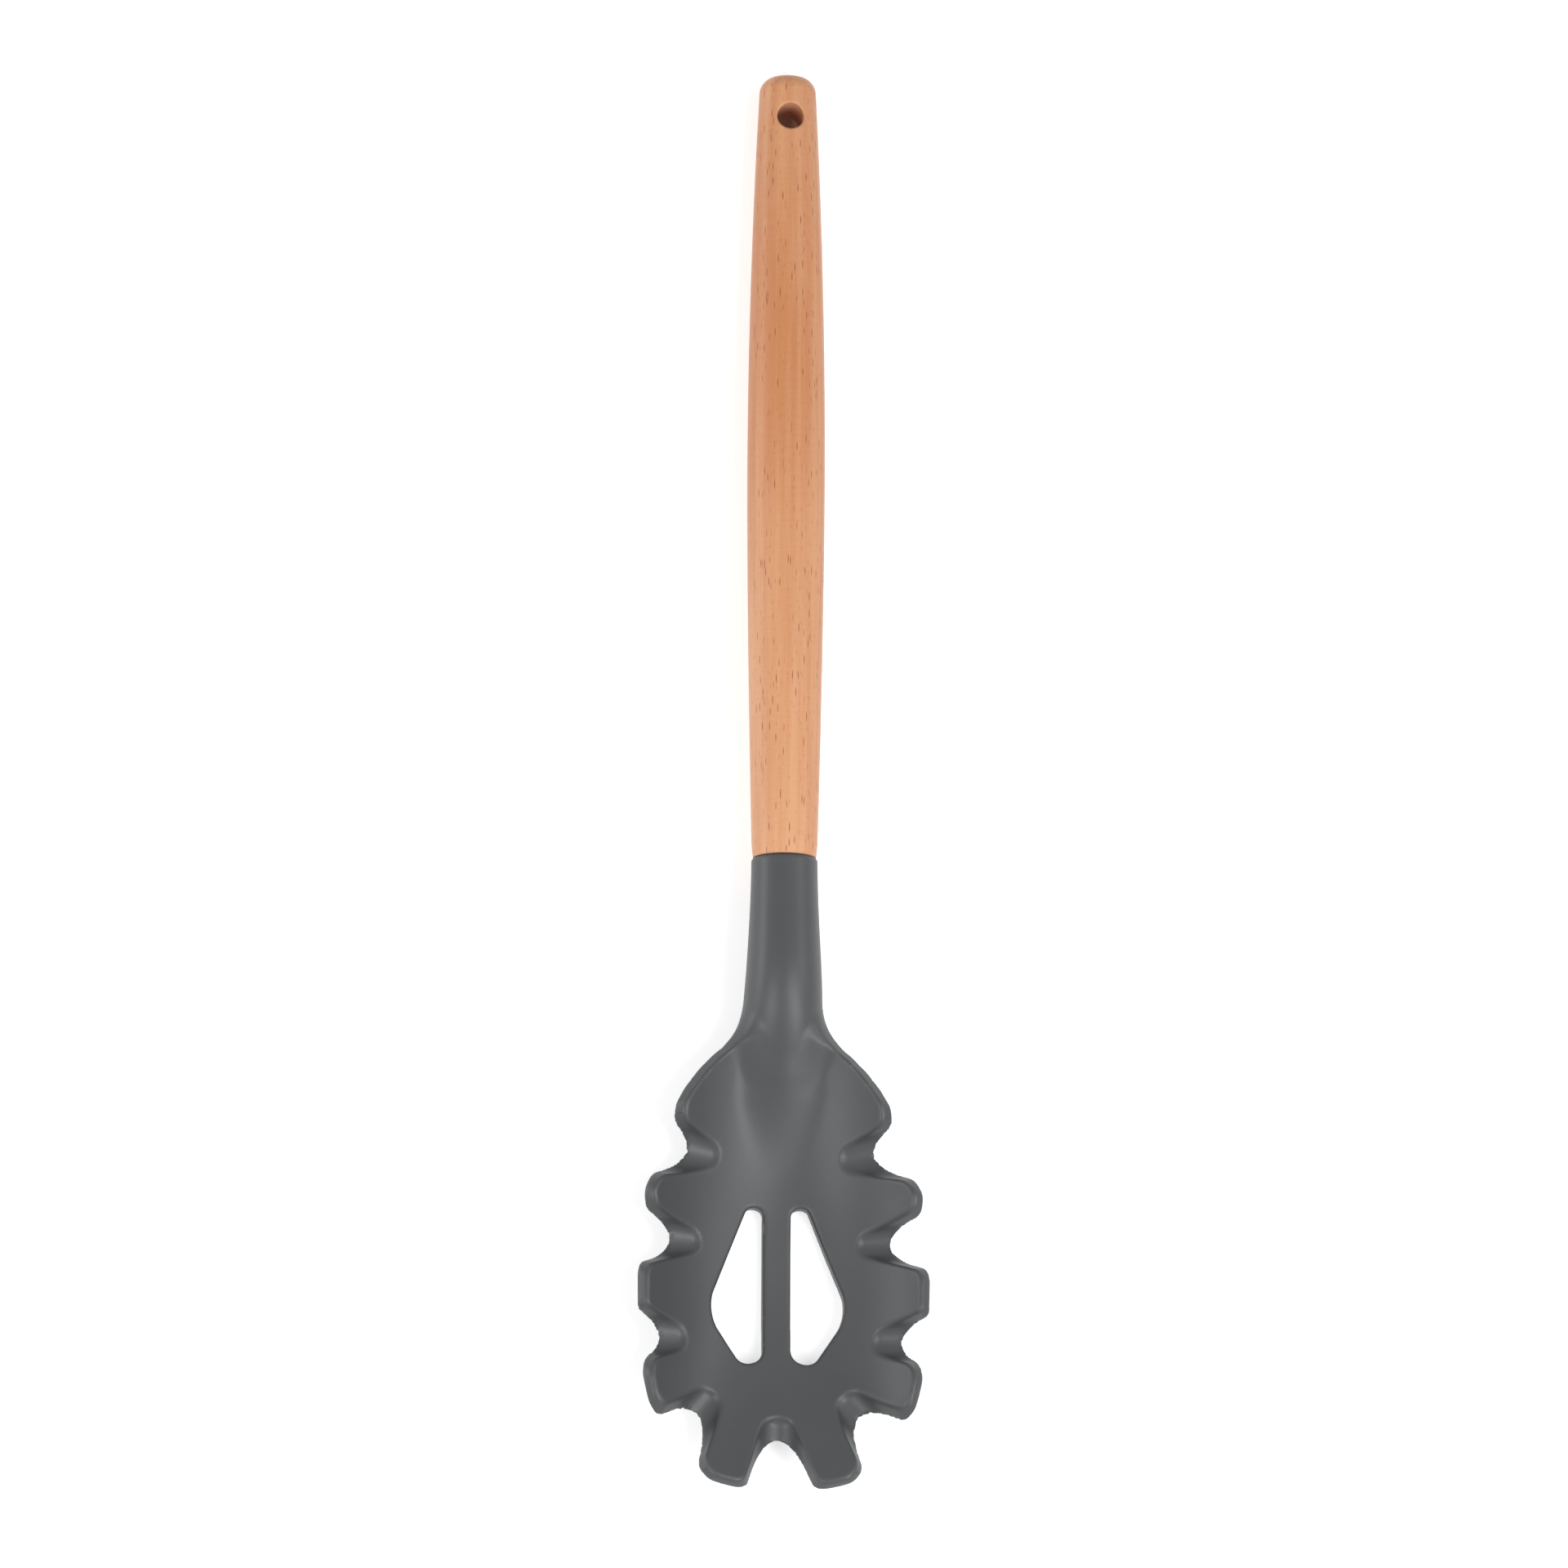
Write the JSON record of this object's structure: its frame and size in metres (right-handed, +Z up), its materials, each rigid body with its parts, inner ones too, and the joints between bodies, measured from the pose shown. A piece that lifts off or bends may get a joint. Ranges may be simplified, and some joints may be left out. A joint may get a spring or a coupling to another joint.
{
  "type": "pasta server",
  "caption": "Long-handled pasta server: oval slotted bowl with teeth round its rim, moulded in dark grey silicone over a stiff core, on a turned wooden handle with a hanging hole.",
  "frame": {"origin": "bottom centre of the whole object's box, as it lies on its back", "axes": "+X to the right of the bowl, +Y along the handle towards its hanging end, +Z up, out of the bowl"},
  "size_m": [0.0676, 0.3308, 0.0217],
  "materials": {
    "beech": "satin, fine grained",
    "adhesive": "cured film",
    "nylon": "moulded",
    "silicone": "matt, finely grained"
  },
  "bodies": {
    "root": {"wooden_handle": "beech", "glue_sleeve": "adhesive", "head_core": "nylon", "silicone_head": "silicone"}
  },
  "joints": []
}
